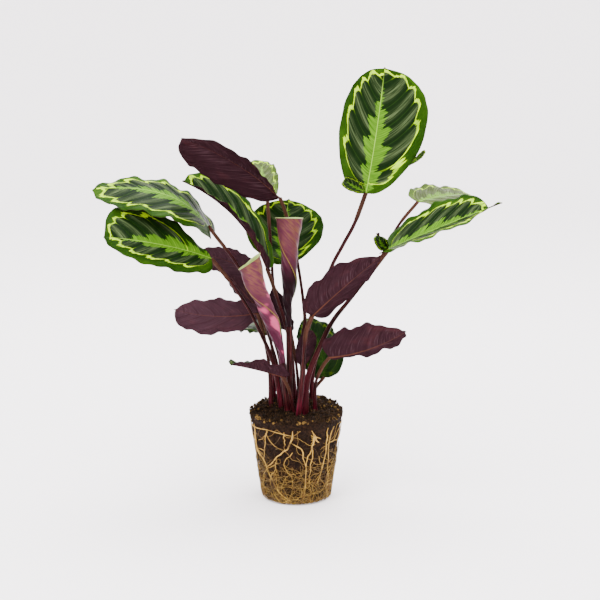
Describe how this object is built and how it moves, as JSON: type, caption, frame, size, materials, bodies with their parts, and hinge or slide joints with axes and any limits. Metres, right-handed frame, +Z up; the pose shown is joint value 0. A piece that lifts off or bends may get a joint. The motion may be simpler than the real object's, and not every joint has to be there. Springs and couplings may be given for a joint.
{
  "type": "calathea plant with bare root ball",
  "caption": "House plant with ring-patterned leaves, purple undersides, rolled young leaves and red stalks, standing on its own pot-shaped ball of soil and roots.",
  "frame": {"origin": "centre of the root ball's flat bottom, on the surface that the plant stands on", "axes": "+Z up, -Y towards the viewer of the picture, +X to that viewer's right"},
  "size_m": [0.5481, 0.3047, 0.595],
  "materials": {
    "leaf": "satin dark green with a yellow-green ring and a light green midrib",
    "leaf_underside": "satin dark maroon purple with a tan midrib",
    "rolled_leaf": "satin pink and tan, darker purple lower down",
    "stalk": "glossy dark red",
    "soil": "rough near-black crumbs",
    "root": "matt cream and tan"
  },
  "bodies": {
    "root": {"blade_upper_right": "leaf", "blade_right": "leaf", "blade_right_back": "leaf", "blade_top_left": "leaf_underside", "blade_left_upper": "leaf", "blade_left_lower": "leaf", "blade_left_middle": "leaf", "blade_centre_back": "leaf", "blade_behind_top": "leaf", "blade_left_purple": "leaf_underside", "blade_left_dark": "leaf_underside", "blade_left_low": "leaf_underside", "blade_left_bottom": "leaf_underside", "blade_right_purple": "leaf_underside", "blade_right_low": "leaf_underside", "blade_right_green": "leaf", "blade_left_green": "leaf", "blade_inner_purple": "leaf_underside", "blade_inner_dark": "leaf_underside", "stalk_upper_right": "stalk", "stalk_right": "stalk", "stalk_right_back": "stalk", "stalk_top_left": "stalk", "stalk_left_upper": "stalk", "stalk_left_lower": "stalk", "stalk_left_middle": "stalk", "stalk_centre_back": "stalk", "stalk_behind_top": "stalk", "stalk_left_purple": "stalk", "stalk_left_dark": "stalk", "stalk_left_low": "stalk", "stalk_left_bottom": "stalk", "stalk_right_purple": "stalk", "stalk_right_low": "stalk", "stalk_right_green": "stalk", "stalk_left_green": "stalk", "stalk_inner_purple": "stalk", "stalk_inner_dark": "stalk", "roll_left": "rolled_leaf", "roll_centre": "rolled_leaf", "stalk_roll_left": "stalk", "stalk_roll_centre": "stalk", "soil_ball": "soil", "root_net": "root"}
  },
  "joints": []
}
